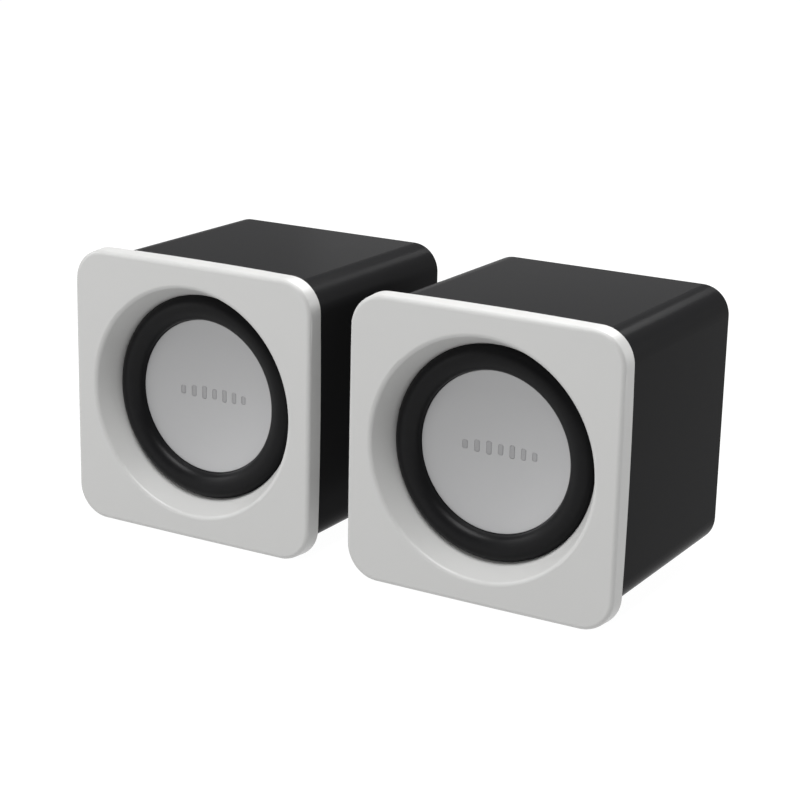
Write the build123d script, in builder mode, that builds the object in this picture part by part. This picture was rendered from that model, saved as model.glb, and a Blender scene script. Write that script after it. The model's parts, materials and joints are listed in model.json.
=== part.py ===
"""A pair of cube desktop speakers: an active right unit and a passive left unit.

Each unit is a black moulded box behind a pale square front frame, whose round flare leads to a
57 mm full-range driver with a rubber roll surround and a wide silver cap. The right unit holds the
amplifier, the volume control and the sockets; the left one has only the socket of its link lead.

Frame: +X to the right seen from the front, +Y to the back, +Z up. The origin is on the floor, under
the centre of the pair. A "depth" is a distance behind the front face, and "across" and "up" are
distances from the driver's axis.
"""

from build123d import *

import os
from math import cos, pi, radians, sin, sqrt, tan

os.makedirs("parts", exist_ok=True)

# Pair
gap_between_units = 10.0
overall_depth = 74.0
cut_clear = 1.0  # how far a cut starts outside the face it goes into

# Front frame
bezel_size = 70.0
bezel_depth = 4.4
bezel_bow = 0.47
straight_bow = 0.02
bezel_corner = 8.2
bezel_edge_round = 1.0
bezel_face = 2.4
bezel_pocket = 62.0
floor_clearance = 0.5

# Flare from the face down to the driver
throat_radius = 25.65
throat_depth = 6.9
flare_angle = 23.7
mouth_round = 1.2
funnel_wall = 1.6
funnel_root = 0.4

# Box
box_size = 64.9
box_corner = 7.0
box_end = 64.0
wall = 2.2
baffle_depth = 9.0
baffle_thickness = 2.5
baffle_hole = 26.0
boss_radius = 3.0
boss_length = 10.0
rear_rim_round = 0.6

# Pegs that hold the frame on the box
peg_across = 27.9
peg_up = 13.2
peg_radius = 1.48
peg_hole = 1.5
peg_length = 10.0

# Rear panel
panel_depth = 61.0
panel_thickness = 2.4
panel_gap = 0.15
panel_chamfer = 0.4
panel_back = panel_depth + panel_thickness
post_length = 15.0
post_inner = 21.8
panel_screw_place = 25.4
counterbore = 1.2
standoff_radius = 2.6

# Fasteners
screw_shank = 1.2
screw_pilot = 1.25
screw_hole = 1.5
screw_head = 2.6
screw_head_height = 1.5
screw_head_round = 0.5
head_gap = 0.3
cross_length = 2.8
cross_width = 0.7
cross_depth = 0.9
driver_screw_length = 8.0
panel_screw_length = 10.0
pilot_spare = 0.5

# Driver: flange, frame and gasket
flange_depth = 8.0
flange_radius = 28.4
flange_thickness = 1.0
ear_width = 8.4
ear_hole = 1.6
driver_screw_place = 23.3
gasket_inner = 26.0
gasket_outer = 28.2
sheet = 0.8
basket_mouth = 25.0
basket_lean = 0.6
ledge_depth = 18.4
ledge_radius = 16.4
ledge_outer = 20.4
floor_depth = 22.0
floor_radius = 14.0
floor_hole = 8.6
floor_lean = 0.4
window_depth = 10.4
window_length = 6.6
window_width = 20.0
window_inner = 14.0
window_outer = 28.0

# Driver: roll, cap, cone and coil
land_depth = 7.4
roll_crest_depth = 4.9
roll_sheet = 0.5
seam_radius = 17.6
seam_depth = 9.1
cap_radius = 19.37
cap_rim_depth = 7.94
cap_dish = 2.6
cap_edge = 0.66
cap_edge_round = 0.2
cap_wall = 0.5
cap_gap = 0.1
cone_edge = 19.4
cone_neck_depth = 17.0
cone_wall = 0.5
cone_glue = 0.4
former_radius = 6.75
former_wall = 0.15
former_start = 16.6
former_end = 26.6
winding_wall = 0.3
winding_start = 22.2
winding_end = 26.4
spider_radius = 18.8
spider_cloth = 0.4
wave_start = 8.6
wave_pitch = 1.2
wave_count = 7
wave_height = 0.9

# Driver: magnet
plate_depth = 22.8
plate_thickness = 3.0
plate_radius = 17.5
magnet_radius = 19.5
magnet_hole = 8.6
magnet_thickness = 8.0
gap_radius = 7.35
pole_radius = 6.3

# Driver: terminals and leads
strip_up = 21.8
strip_width = 12.0
strip_height = 8.4
strip_corner = 1.0
lug_across = 3.5
lug_up = 23.4
lug_width = 2.4
lug_height = 6.4
lug_corner = 0.6
lug_thickness = 0.4
tinsel_radius = 0.35
tinsel_lift = 0.3
wire_radius = 0.6
wire_up = 25.4
bend_share = 0.45  # of the shorter run beside a bend

# Feet
foot_radius = 5.0
foot_across = 16.5
foot_depths = (14.0, 54.0)
foot_round = 0.5

# Amplifier board and what is on it
board_depth = 47.4
board_thickness = 1.6
board_back = board_depth + board_thickness
board_width = 42.0
board_low = -21.0
board_high = 19.0
board_corner = 1.0
board_screw_length = 8.0
standoff_across = 17.0
standoff_up = 14.0
chip_up = -8.0
chip_width = 10.0
chip_height = 6.0
chip_thickness = 1.6
connector_up = 14.0
connector_width = 7.0
connector_height = 5.0
connector_thickness = 6.0
block_corner = 0.4
can_across = 14.0
can_up = -14.0
can_radius = 3.15
can_length = 8.0
choke_across = 13.0
choke_size = 6.0
choke_thickness = 3.0
choke_corner = 1.0

# Sockets
jack_row = -12.0
jack_spacing = 13.0
jack_body = 10.0
jack_corner = 0.6
jack_end = 65.2
jack_barrel = 2.95
jack_barrel_chamfer = 0.25
jack_bore = 1.8
jack_bore_depth = 14.0
ring_nut_radius = 4.5
ring_nut_thickness = 1.4
notch_count = 20
notch_radius = 0.3
shell_width = 9.0
shell_height = 3.3
shell_wall = 0.3
shell_floor = 55.0
shell_end = 62.8
tongue_width = 6.7
tongue_thickness = 0.7
tongue_start = 54.5
tongue_end = 61.4
panel_hole_gap = 0.1
shell_hole_gap = 0.2

# Volume control
knob_up = 10.0
pot_width = 10.0
pot_height = 11.0
pot_thickness = 7.0
pot_corner = 0.8
bushing_radius = 3.5
bushing_end = 66.4
pot_nut_radius = 5.6
pot_nut_thickness = 2.0
shaft_radius = 3.0
shaft_clearance = 0.05
shaft_end_gap = 0.2
shaft_start = 52.2
shaft_end = 72.0
shaft_flat_cut = 1.5
flat_start = 67.2
knob_start = 64.4
knob_radius = 8.0
knob_round = 0.8
knob_hollow = 6.2
knob_grooves = 24
groove_radius = 0.6
groove_out = 0.25
skirt_height = 1.4
pointer_turn = 150.0
pointer_place = 4.6
pointer_length = 5.0
pointer_width = 1.0
pointer_depth = 0.6
dial_dots = 9
dial_radius = 12.0
dial_first = -60.0
dial_step = 37.5
dot_radius = 0.3
dot_growth = 0.06
dot_height = 0.25

# Worked out from the above
axis_height = floor_clearance + bezel_size / 2
box_bottom = axis_height - box_size / 2
front_y = -overall_depth / 2
unit_x = (bezel_size + gap_between_units) / 2
inner_size = box_size - 2 * wall
inner_corner = box_corner - wall
magnet_depth = plate_depth + plate_thickness
yoke_depth = magnet_depth + magnet_thickness
lug_back = ledge_depth + 2 * sheet + lug_thickness


def front_plane(x, depth):
    """The plane at a depth behind the front face, seen from the front, centred on the driver."""
    return Plane(origin=(x, front_y + depth, axis_height), x_dir=(1, 0, 0), z_dir=(0, -1, 0))


def side_plane(x):
    """The plane through the driver's axis, where a point is (radius, depth)."""
    return Plane(origin=(x, front_y, axis_height), x_dir=(1, 0, 0), z_dir=(0, 0, 1))


def driver_axis(x):
    return Axis((x, front_y, axis_height), (0, 1, 0))


def write(builder, node):
    builder.part.label = node
    export_step(builder.part, f"parts/{node}.step")


def turned(x, points):
    """A ring or disc: the closed outline of (radius, depth) points turned about the driver's axis."""
    with BuildPart() as ring:
        with BuildSketch(side_plane(x)):
            with BuildLine():
                Polyline(*points, close=True)
            make_face()
        revolve(axis=driver_axis(x))
    return ring


def bowed_square(size, bow):
    """The outline of a square whose sides rise by bow between their ends."""
    half = size / 2
    corner = half - bow
    with BuildLine() as outline:
        ThreePointArc((-corner, corner), (0, half), (corner, corner))
        ThreePointArc((corner, corner), (half, 0), (corner, -corner))
        ThreePointArc((corner, -corner), (0, -half), (-corner, -corner))
        ThreePointArc((-corner, -corner), (-half, 0), (-corner, corner))
    return outline.edges()


def corner_places(place):
    return [(across, up) for across in (-place, place) for up in (-place, place)]


# Front frame


def front_bezel(x):
    """Pale square frame: its sides bow at the back edge and run straight at the front one."""
    slope = radians(flare_angle)
    half_round = (radians(90) - slope) / 2
    round_depth = mouth_round * (1 - sin(slope))
    flare_start = throat_radius + (throat_depth - round_depth) * tan(slope)
    round_centre = flare_start + mouth_round * cos(slope)
    mouth_edge = (round_centre, 0)
    mouth_middle = (round_centre - mouth_round * sin(half_round), mouth_round * (1 - cos(half_round)))
    cone_start = (flare_start, round_depth)
    throat = (throat_radius, throat_depth)
    outer_start = (flare_start + funnel_wall, bezel_face - funnel_root)
    outer_throat = (throat_radius + funnel_wall, throat_depth)
    inner_start = (throat_radius - funnel_root, bezel_face - funnel_root)
    inner_throat = (throat_radius - funnel_root, throat_depth)

    with BuildPart() as bezel:
        with BuildSketch(front_plane(x, bezel_depth)) as back_outline:
            make_face(bowed_square(bezel_size, bezel_bow))
            fillet(back_outline.vertices(), bezel_corner)
        with BuildSketch(front_plane(x, 0)) as front_outline:
            make_face(bowed_square(bezel_size - 2 * bezel_bow, straight_bow))
            fillet(front_outline.vertices(), bezel_corner)
        loft(ruled=True)
        fillet(bezel.faces().sort_by(Axis.Y)[0].edges(), bezel_edge_round)
        with BuildSketch(front_plane(x, bezel_face)):
            RectangleRounded(bezel_pocket, bezel_pocket, inner_corner)
        extrude(amount=-(bezel_depth - bezel_face), mode=Mode.SUBTRACT)
        with BuildSketch(side_plane(x)):
            with BuildLine():
                Polyline(inner_start, outer_start, outer_throat, inner_throat, close=True)
            make_face()
        revolve(axis=driver_axis(x))
        with BuildSketch(side_plane(x)):
            with BuildLine():
                Polyline((0, throat_depth), (0, -cut_clear), (round_centre, -cut_clear), mouth_edge)
                ThreePointArc(mouth_edge, mouth_middle, cone_start)
                Polyline(cone_start, throat, (0, throat_depth))
            make_face()
        revolve(axis=driver_axis(x), mode=Mode.SUBTRACT)
        with BuildSketch(front_plane(x, bezel_face)):
            with GridLocations(2 * peg_across, 2 * peg_up, 2, 2):
                Circle(peg_radius)
        extrude(amount=-peg_length)
    return bezel


# Box and rear panel


def cabinet(x):
    """One moulded shell: four walls, a baffle that carries the driver, and posts for the screws."""
    with BuildPart() as shell:
        with BuildSketch(front_plane(x, bezel_depth)):
            RectangleRounded(box_size, box_size, box_corner)
            RectangleRounded(inner_size, inner_size, inner_corner, mode=Mode.SUBTRACT)
        extrude(amount=-(box_end - bezel_depth))
        with BuildSketch(front_plane(x, baffle_depth)):
            RectangleRounded(box_size, box_size, box_corner)
            Circle(baffle_hole, mode=Mode.SUBTRACT)
            with GridLocations(2 * peg_across, 2 * peg_up, 2, 2):
                Circle(peg_hole, mode=Mode.SUBTRACT)
        extrude(amount=-baffle_thickness)
        with BuildSketch(front_plane(x, baffle_depth)):
            with GridLocations(2 * driver_screw_place, 2 * driver_screw_place, 2, 2):
                Circle(boss_radius)
        extrude(amount=-boss_length)
        with BuildSketch(front_plane(x, baffle_depth)):
            Circle(baffle_hole)
        extrude(amount=-boss_length, mode=Mode.SUBTRACT)
        with BuildSketch(front_plane(x, panel_depth - post_length)):
            RectangleRounded(box_size - wall, box_size - wall, box_corner - wall / 2)
            Rectangle(2 * post_inner, box_size, mode=Mode.SUBTRACT)
            Rectangle(box_size, 2 * post_inner, mode=Mode.SUBTRACT)
        extrude(amount=-post_length)
        with BuildSketch(front_plane(x, baffle_depth)):
            with GridLocations(2 * driver_screw_place, 2 * driver_screw_place, 2, 2):
                Circle(screw_pilot)
        extrude(amount=-(driver_screw_length + pilot_spare), mode=Mode.SUBTRACT)
        with BuildSketch(front_plane(x, panel_depth)):
            with GridLocations(2 * panel_screw_place, 2 * panel_screw_place, 2, 2):
                Circle(screw_pilot)
        extrude(amount=panel_screw_length + pilot_spare, mode=Mode.SUBTRACT)
        rear_rim = shell.faces().sort_by(Axis.Y)[-1]
        fillet(rear_rim.outer_wire().edges(), rear_rim_round)
    return shell


def jack_places(active):
    """Where the 3.5 mm sockets come through the rear panel."""
    return [(-jack_spacing, jack_row), (jack_spacing, jack_row)] if active else [(0, jack_row)]


def rear_panel(x, active):
    """Screwed back cover. The active unit's has the volume control's hole and three sockets."""
    size = inner_size - 2 * panel_gap
    with BuildPart() as panel:
        with BuildSketch(front_plane(x, panel_depth)):
            RectangleRounded(size, size, inner_corner - panel_gap)
            with GridLocations(2 * panel_screw_place, 2 * panel_screw_place, 2, 2):
                Circle(screw_hole, mode=Mode.SUBTRACT)
            with Locations(*jack_places(active)):
                Circle(jack_barrel + panel_hole_gap, mode=Mode.SUBTRACT)
            if active:
                with Locations((0, knob_up)):
                    Circle(bushing_radius + panel_hole_gap, mode=Mode.SUBTRACT)
                with Locations((0, jack_row)):
                    SlotOverall(
                        shell_width + 2 * shell_hole_gap,
                        shell_height + 2 * shell_hole_gap,
                        mode=Mode.SUBTRACT,
                    )
        extrude(amount=-panel_thickness)
        chamfer(panel.faces().sort_by(Axis.Y)[-1].outer_wire().edges(), panel_chamfer)
        with BuildSketch(front_plane(x, panel_back)):
            with GridLocations(2 * panel_screw_place, 2 * panel_screw_place, 2, 2):
                Circle(screw_head + head_gap)
        extrude(amount=counterbore, mode=Mode.SUBTRACT)
        if active:
            with BuildSketch(front_plane(x, board_back)):
                with Locations((-standoff_across, standoff_up), (standoff_across, standoff_up)):
                    Circle(standoff_radius)
                    Circle(screw_pilot, mode=Mode.SUBTRACT)
            extrude(amount=-(panel_depth - board_back))
            with BuildSketch(front_plane(x, panel_back)):
                for dot in range(dial_dots):
                    turn = radians(dial_first + dial_step * dot)
                    with Locations((dial_radius * cos(turn), knob_up + dial_radius * sin(turn))):
                        Circle(dot_radius + dot_growth * dot)
            extrude(amount=-dot_height)
    return panel


# Fasteners and feet


def screws(x, head_depth, length, places, backwards):
    """Pan-head cross screws. Their heads start at head_depth, and face the back if backwards."""
    outward = 1 if backwards else -1
    with BuildPart() as group:
        with BuildSketch(front_plane(x, head_depth)):
            with Locations(*places):
                Circle(screw_head)
        extrude(amount=-outward * screw_head_height)
        top_faces = group.faces().filter_by(Axis.Y).group_by(Axis.Y)[-1 if backwards else 0]
        fillet(top_faces.edges(), screw_head_round)
        with BuildSketch(front_plane(x, head_depth + outward * screw_head_height)):
            with Locations(*places):
                Rectangle(cross_length, cross_width)
                Rectangle(cross_width, cross_length)
        extrude(amount=outward * cross_depth, mode=Mode.SUBTRACT)
        with BuildSketch(front_plane(x, head_depth)):
            with Locations(*places):
                Circle(screw_shank)
        extrude(amount=outward * length)
    return group


def feet(x):
    """Four rubber pads that lift the box, so that the frame's lower edge clears the desk."""
    places = [(x + side * foot_across, front_y + depth) for side in (-1, 1) for depth in foot_depths]
    with BuildPart() as pads:
        with BuildSketch(Plane.XY):
            with Locations(*places):
                Circle(foot_radius)
        extrude(amount=box_bottom)
        fillet(pads.faces().filter_by(Axis.Z).group_by(Axis.Z)[0].edges(), foot_round)
    return pads


# Driver


def driver_gasket(x):
    """Foam ring between the frame's throat and the edge of the roll."""
    outline = [
        (gasket_inner, throat_depth),
        (gasket_outer, throat_depth),
        (gasket_outer, land_depth),
        (gasket_inner, land_depth),
    ]
    return turned(x, outline)


def driver_basket(x):
    """Pressed steel frame: eared flange, four-legged cone, ledge for the spider, and floor."""
    flange_back = flange_depth + flange_thickness
    with BuildPart() as basket:
        with BuildSketch(side_plane(x)):
            with BuildLine():
                Polyline(
                    (basket_mouth, flange_back),
                    (ledge_outer, ledge_depth),
                    (ledge_radius, ledge_depth),
                    (floor_radius, floor_depth),
                    (floor_hole, floor_depth),
                    (floor_hole, floor_depth + sheet),
                    (floor_radius + floor_lean, floor_depth + sheet),
                    (ledge_radius + floor_lean, ledge_depth + sheet),
                    (ledge_outer + basket_lean, ledge_depth + sheet),
                    (basket_mouth + sheet, flange_back),
                    close=True,
                )
            make_face()
        revolve(axis=driver_axis(x))
        with BuildSketch(front_plane(x, window_depth)):
            with PolarLocations((window_inner + window_outer) / 2, 4):
                Rectangle(window_outer - window_inner, window_width)
        extrude(amount=-window_length, mode=Mode.SUBTRACT)
        with BuildSketch(front_plane(x, flange_depth)):
            Circle(flange_radius)
            SlotOverall(2 * driver_screw_place * sqrt(2) + ear_width, ear_width, rotation=45)
            SlotOverall(2 * driver_screw_place * sqrt(2) + ear_width, ear_width, rotation=-45)
            Circle(basket_mouth, mode=Mode.SUBTRACT)
            with Locations(*corner_places(driver_screw_place)):
                Circle(ear_hole, mode=Mode.SUBTRACT)
        extrude(amount=-flange_thickness)
    return basket


def surround(x):
    """Rubber half roll between the flange and the cone, with a flat land at each edge."""
    inner = cap_radius + cap_gap
    crest = (inner + throat_radius) / 2
    foot = seam_depth - roll_sheet
    outer_foot = (throat_radius, land_depth)
    outer_edge = (gasket_outer, land_depth)
    inner_foot = (inner, foot)
    outer_foot_back = (throat_radius - roll_sheet, flange_depth)
    inner_foot_back = (inner + roll_sheet, seam_depth)
    with BuildPart() as roll:
        with BuildSketch(side_plane(x)):
            with BuildLine():
                Polyline(inner_foot_back, (seam_radius, seam_depth), (seam_radius, foot), inner_foot)
                ThreePointArc(inner_foot, (crest, roll_crest_depth), outer_foot)
                Polyline(outer_foot, outer_edge, (gasket_outer, flange_depth), outer_foot_back)
                ThreePointArc(outer_foot_back, (crest, roll_crest_depth + roll_sheet), inner_foot_back)
            make_face()
        revolve(axis=driver_axis(x))
    return roll


def dust_cap(x):
    """Wide silver cap: a shallow dish with a thicker edge, which sits on the roll's inner land."""
    rim_radius = cap_radius - cap_edge_round
    dish_radius = (rim_radius**2 + cap_dish**2) / (2 * cap_dish)
    bottom = cap_rim_depth + cap_dish
    seam_depth_of_dish = bottom - dish_radius + sqrt(dish_radius**2 - seam_radius**2)
    edge_back = cap_rim_depth + cap_edge
    rim = (rim_radius, cap_rim_depth)
    rim_middle = (
        rim_radius + cap_edge_round * sin(radians(45)),
        cap_rim_depth + cap_edge_round * (1 - cos(radians(45))),
    )
    rim_end = (cap_radius, cap_rim_depth + cap_edge_round)
    inner_edge = (seam_radius, seam_depth_of_dish + cap_wall)
    with BuildPart() as cap:
        with BuildSketch(side_plane(x)):
            with BuildLine():
                RadiusArc((0, bottom), rim, dish_radius)
                ThreePointArc(rim, rim_middle, rim_end)
                Polyline(rim_end, (cap_radius, edge_back), (seam_radius, edge_back), inner_edge)
                RadiusArc(inner_edge, (0, bottom + cap_wall), -dish_radius)
                Line((0, bottom + cap_wall), (0, bottom))
            make_face()
        revolve(axis=driver_axis(x))
    return cap


def cone(x):
    """Paper cone from the coil's former out to the glued seam under the roll and the cap."""
    outline = [
        (former_radius, cone_neck_depth),
        (seam_radius, seam_depth),
        (cone_edge, seam_depth),
        (cone_edge, seam_depth + cone_wall),
        (seam_radius + cone_glue, seam_depth + cone_wall),
        (former_radius, cone_neck_depth + cone_wall),
    ]
    return turned(x, outline)


def voice_coil(x):
    """Paper former with its copper winding, which stands in the magnet's gap."""
    with BuildPart() as coil:
        with BuildSketch(side_plane(x)):
            with Locations((former_radius - former_wall / 2, (former_start + former_end) / 2)):
                Rectangle(former_wall, former_end - former_start)
            with Locations((former_radius + winding_wall / 2, (winding_start + winding_end) / 2)):
                Rectangle(winding_wall, winding_end - winding_start)
        revolve(axis=driver_axis(x))
    return coil


def spider(x):
    """Corrugated cloth disc that centres the coil."""
    valley = ledge_depth - spider_cloth
    front = [(former_radius, valley)]
    for step in range(wave_count):
        front.append((wave_start + wave_pitch * step, valley - wave_height * (step % 2)))
    front.append((spider_radius, valley))
    back = [(radius, depth + spider_cloth) for radius, depth in reversed(front)]
    return turned(x, front + back)


def top_plate(x):
    outline = [
        (gap_radius, plate_depth),
        (plate_radius, plate_depth),
        (plate_radius, magnet_depth),
        (gap_radius, magnet_depth),
    ]
    return turned(x, outline)


def magnet(x):
    outline = [
        (magnet_hole, magnet_depth),
        (magnet_radius, magnet_depth),
        (magnet_radius, yoke_depth),
        (magnet_hole, yoke_depth),
    ]
    return turned(x, outline)


def yoke(x):
    """Back plate and centre pole in one piece."""
    outline = [
        (0, plate_depth),
        (pole_radius, plate_depth),
        (pole_radius, yoke_depth),
        (plate_radius, yoke_depth),
        (plate_radius, yoke_depth + plate_thickness),
        (0, yoke_depth + plate_thickness),
    ]
    return turned(x, outline)


def terminal_strip(x):
    """Phenolic tab on the back of the frame's ledge."""
    with BuildPart() as strip:
        with BuildSketch(front_plane(x, ledge_depth + sheet)):
            with Locations((0, strip_up)):
                RectangleRounded(strip_width, strip_height, strip_corner)
        extrude(amount=-sheet)
    return strip


def terminal_lugs(x):
    """Two solder tags on the terminal strip."""
    with BuildPart() as lugs:
        with BuildSketch(front_plane(x, lug_back - lug_thickness)):
            with Locations((-lug_across, lug_up), (lug_across, lug_up)):
                RectangleRounded(lug_width, lug_height, lug_corner)
        extrude(amount=-lug_thickness)
    return lugs


def tinsel_leads(x):
    """Two braided leads from the terminal strip to the back of the cone, as (up, depth) points."""
    strip_end = (23.6, ledge_depth + tinsel_lift)
    middle = (19.4, 14.9)
    cone_end = (14.0, 13.6)
    with BuildPart() as leads:
        for across in (-lug_across, lug_across):
            plane = Plane(origin=(x + across, front_y, axis_height), x_dir=(0, 0, 1), z_dir=(-1, 0, 0))
            with BuildLine(plane) as route:
                ThreePointArc(strip_end, middle, cone_end)
            with BuildSketch(Plane(origin=route.line @ 0, z_dir=route.line % 0)):
                Circle(tinsel_radius)
            sweep(path=route.line)
    return leads


def tangent_bends(points):
    """The largest arcs that fit the corners of a route: a share of the shorter run over tan(turn / 2)."""
    corners = [Vector(*point) for point in points]
    radii = []
    for before, corner, after in zip(corners, corners[1:], corners[2:]):
        arriving = corner - before
        leaving = after - corner
        half_turn = radians(arriving.get_angle(leaving)) / 2
        radii.append(bend_share * min(arriving.length, leaving.length) / tan(half_turn))
    return radii


def wire_route(side, active):
    """One lead's (across, up, depth) points, from its lug to the connector or to the link socket."""
    start = [(side * lug_across, wire_up, lug_back), (side * 3.6, 25.6, 29.5)]
    if active:
        board_end = [(side * 1.3, 22.8, 44.4), (side * 1.3, connector_up + connector_height / 2, 44.4)]
        return start + [(side * 3.3, 24.0, 37.5)] + board_end
    middle = [(side * 3.3, 21.0, 39.0), (side * 2.7, 7.0, 42.0), (side * 2.2, jack_row + 3.5, 42.0)]
    return start + middle + [(side * 2.2, jack_row, 45.2), (side * 2.2, jack_row, board_back)]


def driver_wires(x, active):
    """Two leads from the terminal strip to the amplifier board or the link socket."""
    with BuildPart() as wires:
        for side in (-1, 1):
            points = [
                (x + across, front_y + depth, axis_height + up)
                for across, up, depth in wire_route(side, active)
            ]
            bends = tangent_bends(points)
            with BuildLine() as route:
                FilletPolyline(*points, radius=bends)
            with BuildSketch(Plane(origin=route.line @ 0, z_dir=(0, 1, 0))):
                Circle(wire_radius)
            sweep(path=route.line)
            length = sum(edge.length for edge in route.edges())
    print("lead bend radii", [round(bend, 1) for bend in bends], "length", round(length, 1))
    print("volume over section times length", wires.part.volume / (2 * pi * wire_radius**2 * length))
    return wires


# Sockets


def jack(x, place):
    """3.5 mm socket: square body behind the panel, threaded barrel through it, and the plug's bore."""
    with BuildPart() as socket:
        with BuildSketch(front_plane(x, board_back)):
            with Locations(place):
                RectangleRounded(jack_body, jack_body, jack_corner)
        extrude(amount=-(panel_depth - board_back))
        with BuildSketch(front_plane(x, panel_depth)):
            with Locations(place):
                Circle(jack_barrel)
        extrude(amount=-(jack_end - panel_depth))
        chamfer(socket.faces().sort_by(Axis.Y)[-1].outer_wire().edges(), jack_barrel_chamfer)
        with BuildSketch(front_plane(x, jack_end)):
            with Locations(place):
                Circle(jack_bore)
        extrude(amount=jack_bore_depth, mode=Mode.SUBTRACT)
    return socket


def jack_nuts(x, places):
    """Notched ring nuts that hold the sockets in the rear panel."""
    with BuildPart() as nuts:
        with BuildSketch(front_plane(x, panel_back)):
            for place in places:
                with Locations(place):
                    Circle(ring_nut_radius)
                    with PolarLocations(ring_nut_radius + notch_radius / 3, notch_count):
                        Circle(notch_radius, mode=Mode.SUBTRACT)
                    Circle(jack_barrel, mode=Mode.SUBTRACT)
        extrude(amount=-ring_nut_thickness)
    return nuts


def power_socket(x):
    """5 V socket: a flat-sided steel shell with a contact tongue inside."""
    with BuildPart() as socket:
        with BuildSketch(front_plane(x, board_back)):
            with Locations((0, jack_row)):
                SlotOverall(shell_width, shell_height)
        extrude(amount=-(shell_end - board_back))
        with BuildSketch(front_plane(x, shell_floor)):
            with Locations((0, jack_row)):
                SlotOverall(shell_width - 2 * shell_wall, shell_height - 2 * shell_wall)
        extrude(amount=-(shell_end + cut_clear - shell_floor), mode=Mode.SUBTRACT)
        with BuildSketch(front_plane(x, tongue_start)):
            with Locations((0, jack_row)):
                Rectangle(tongue_width, tongue_thickness)
        extrude(amount=-(tongue_end - tongue_start))
    return socket


# Amplifier board


def amp_board(x):
    """Vertical circuit board behind the driver, parallel to the rear panel."""
    with BuildPart() as board:
        with BuildSketch(front_plane(x, board_depth)):
            with Locations((0, (board_low + board_high) / 2)):
                RectangleRounded(board_width, board_high - board_low, board_corner)
            with Locations((-standoff_across, standoff_up), (standoff_across, standoff_up)):
                Circle(screw_hole, mode=Mode.SUBTRACT)
        extrude(amount=-board_thickness)
    return board


def amp_chip(x):
    with BuildPart() as chip:
        with BuildSketch(front_plane(x, board_depth)):
            with Locations((0, chip_up)):
                RectangleRounded(chip_width, chip_height, block_corner)
        extrude(amount=chip_thickness)
    return chip


def wire_connector(x):
    with BuildPart() as connector:
        with BuildSketch(front_plane(x, board_depth)):
            with Locations((0, connector_up)):
                RectangleRounded(connector_width, connector_height, block_corner)
        extrude(amount=connector_thickness)
    return connector


def inductors(x):
    """Two square output chokes on the front of the board."""
    with BuildPart() as chokes:
        with BuildSketch(front_plane(x, board_depth)):
            with Locations((-choke_across, 0), (choke_across, 0)):
                RectangleRounded(choke_size, choke_size, choke_corner)
        extrude(amount=choke_thickness)
    return chokes


def capacitors(x):
    """Two electrolytic cans on the front of the board."""
    with BuildPart() as cans:
        with BuildSketch(front_plane(x, board_depth)):
            with Locations((-can_across, can_up), (can_across, can_up)):
                Circle(can_radius)
        extrude(amount=can_length)
        fillet(cans.faces().filter_by(Axis.Y).group_by(Axis.Y)[0].edges(), block_corner)
    return cans


# Volume control


def volume_pot(x):
    """Rotary control: square case on the board and a threaded bushing through the panel."""
    case_back = board_back + pot_thickness
    with BuildPart() as pot:
        with BuildSketch(front_plane(x, board_back)):
            with Locations((0, knob_up)):
                RectangleRounded(pot_width, pot_height, pot_corner)
        extrude(amount=-pot_thickness)
        with BuildSketch(front_plane(x, case_back)):
            with Locations((0, knob_up)):
                Circle(bushing_radius)
        extrude(amount=-(bushing_end - case_back))
        with BuildSketch(front_plane(x, bushing_end)):
            with Locations((0, knob_up)):
                Circle(shaft_radius + shaft_clearance)
        extrude(amount=bushing_end - shaft_start + shaft_end_gap, mode=Mode.SUBTRACT)
    return pot


def pot_nut(x):
    """Hexagon nut of the volume control."""
    with BuildPart() as nut:
        with BuildSketch(front_plane(x, panel_back)):
            with Locations((0, knob_up)):
                RegularPolygon(pot_nut_radius, 6)
                Circle(bushing_radius, mode=Mode.SUBTRACT)
        extrude(amount=-pot_nut_thickness)
    return nut


def volume_shaft(x):
    """Shaft that turns in the bushing and carries the knob on its flatted end."""
    with BuildPart() as shaft:
        with BuildSketch(front_plane(x, shaft_start)):
            with Locations((0, knob_up)):
                Circle(shaft_radius)
        extrude(amount=-(shaft_end - shaft_start))
        with BuildSketch(front_plane(x, flat_start)):
            with Locations((0, knob_up + shaft_radius)):
                Rectangle(2 * shaft_radius, 2 * shaft_flat_cut)
        extrude(amount=-(shaft_end + cut_clear - flat_start), mode=Mode.SUBTRACT)
    return shaft


def volume_knob(x):
    """Grooved push-on knob with a pointer groove, hollow at the front to clear the nut."""
    turn = radians(pointer_turn)
    pointer = (pointer_place * sin(turn), knob_up + pointer_place * cos(turn))
    with BuildPart() as knob:
        with BuildSketch(front_plane(x, knob_start)):
            with Locations((0, knob_up)):
                Circle(knob_radius)
        extrude(amount=-(overall_depth - knob_start))
        fillet(knob.faces().sort_by(Axis.Y)[-1].edges(), knob_round)
        with BuildSketch(front_plane(x, knob_start + skirt_height)):
            with Locations((0, knob_up)):
                with PolarLocations(knob_radius + groove_out, knob_grooves):
                    Circle(groove_radius)
        extrude(amount=-(overall_depth + cut_clear - knob_start), mode=Mode.SUBTRACT)
        with BuildSketch(front_plane(x, knob_start)):
            with Locations((0, knob_up)):
                Circle(knob_hollow)
        extrude(amount=-(flat_start - knob_start), mode=Mode.SUBTRACT)
        with BuildSketch(front_plane(x, flat_start)):
            with Locations((0, knob_up)):
                Circle(shaft_radius)
            with Locations((0, knob_up + shaft_radius)):
                Rectangle(2 * shaft_radius, 2 * shaft_flat_cut, mode=Mode.SUBTRACT)
        extrude(amount=-(shaft_end - flat_start), mode=Mode.SUBTRACT)
        with BuildSketch(front_plane(x, overall_depth)):
            with Locations(pointer):
                SlotOverall(pointer_length, pointer_width, rotation=90 - pointer_turn)
        extrude(amount=pointer_depth, mode=Mode.SUBTRACT)
    return knob


# The two units

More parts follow.
